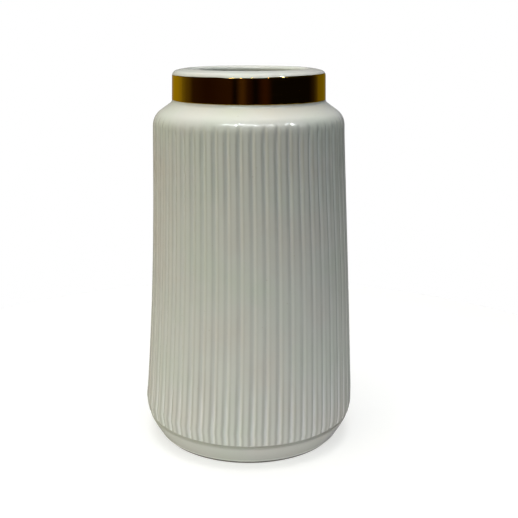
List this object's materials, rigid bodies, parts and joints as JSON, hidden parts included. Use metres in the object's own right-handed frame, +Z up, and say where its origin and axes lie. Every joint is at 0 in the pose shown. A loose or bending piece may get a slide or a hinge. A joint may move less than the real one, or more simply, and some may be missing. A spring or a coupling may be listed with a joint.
{
  "type": "vase",
  "caption": "Ribbed white porcelain vase with a rounded shoulder, a short straight collar banded in fired gold, and a lip that turns in over an open mouth.",
  "frame": {"origin": "centre of the foot ring's resting plane, on the axis of the vase", "axes": "+Z up along the axis of the vase, -Y towards the front, where a groove between two ribs lies"},
  "size_m": [0.1446, 0.1446, 0.25],
  "materials": {
    "glazed_porcelain": "gloss",
    "gold_lustre": "mirror gold lustre, polished by firing"
  },
  "bodies": {
    "root": {"vase_body": "glazed_porcelain", "gold_lustre_band": "gold_lustre"}
  },
  "joints": []
}
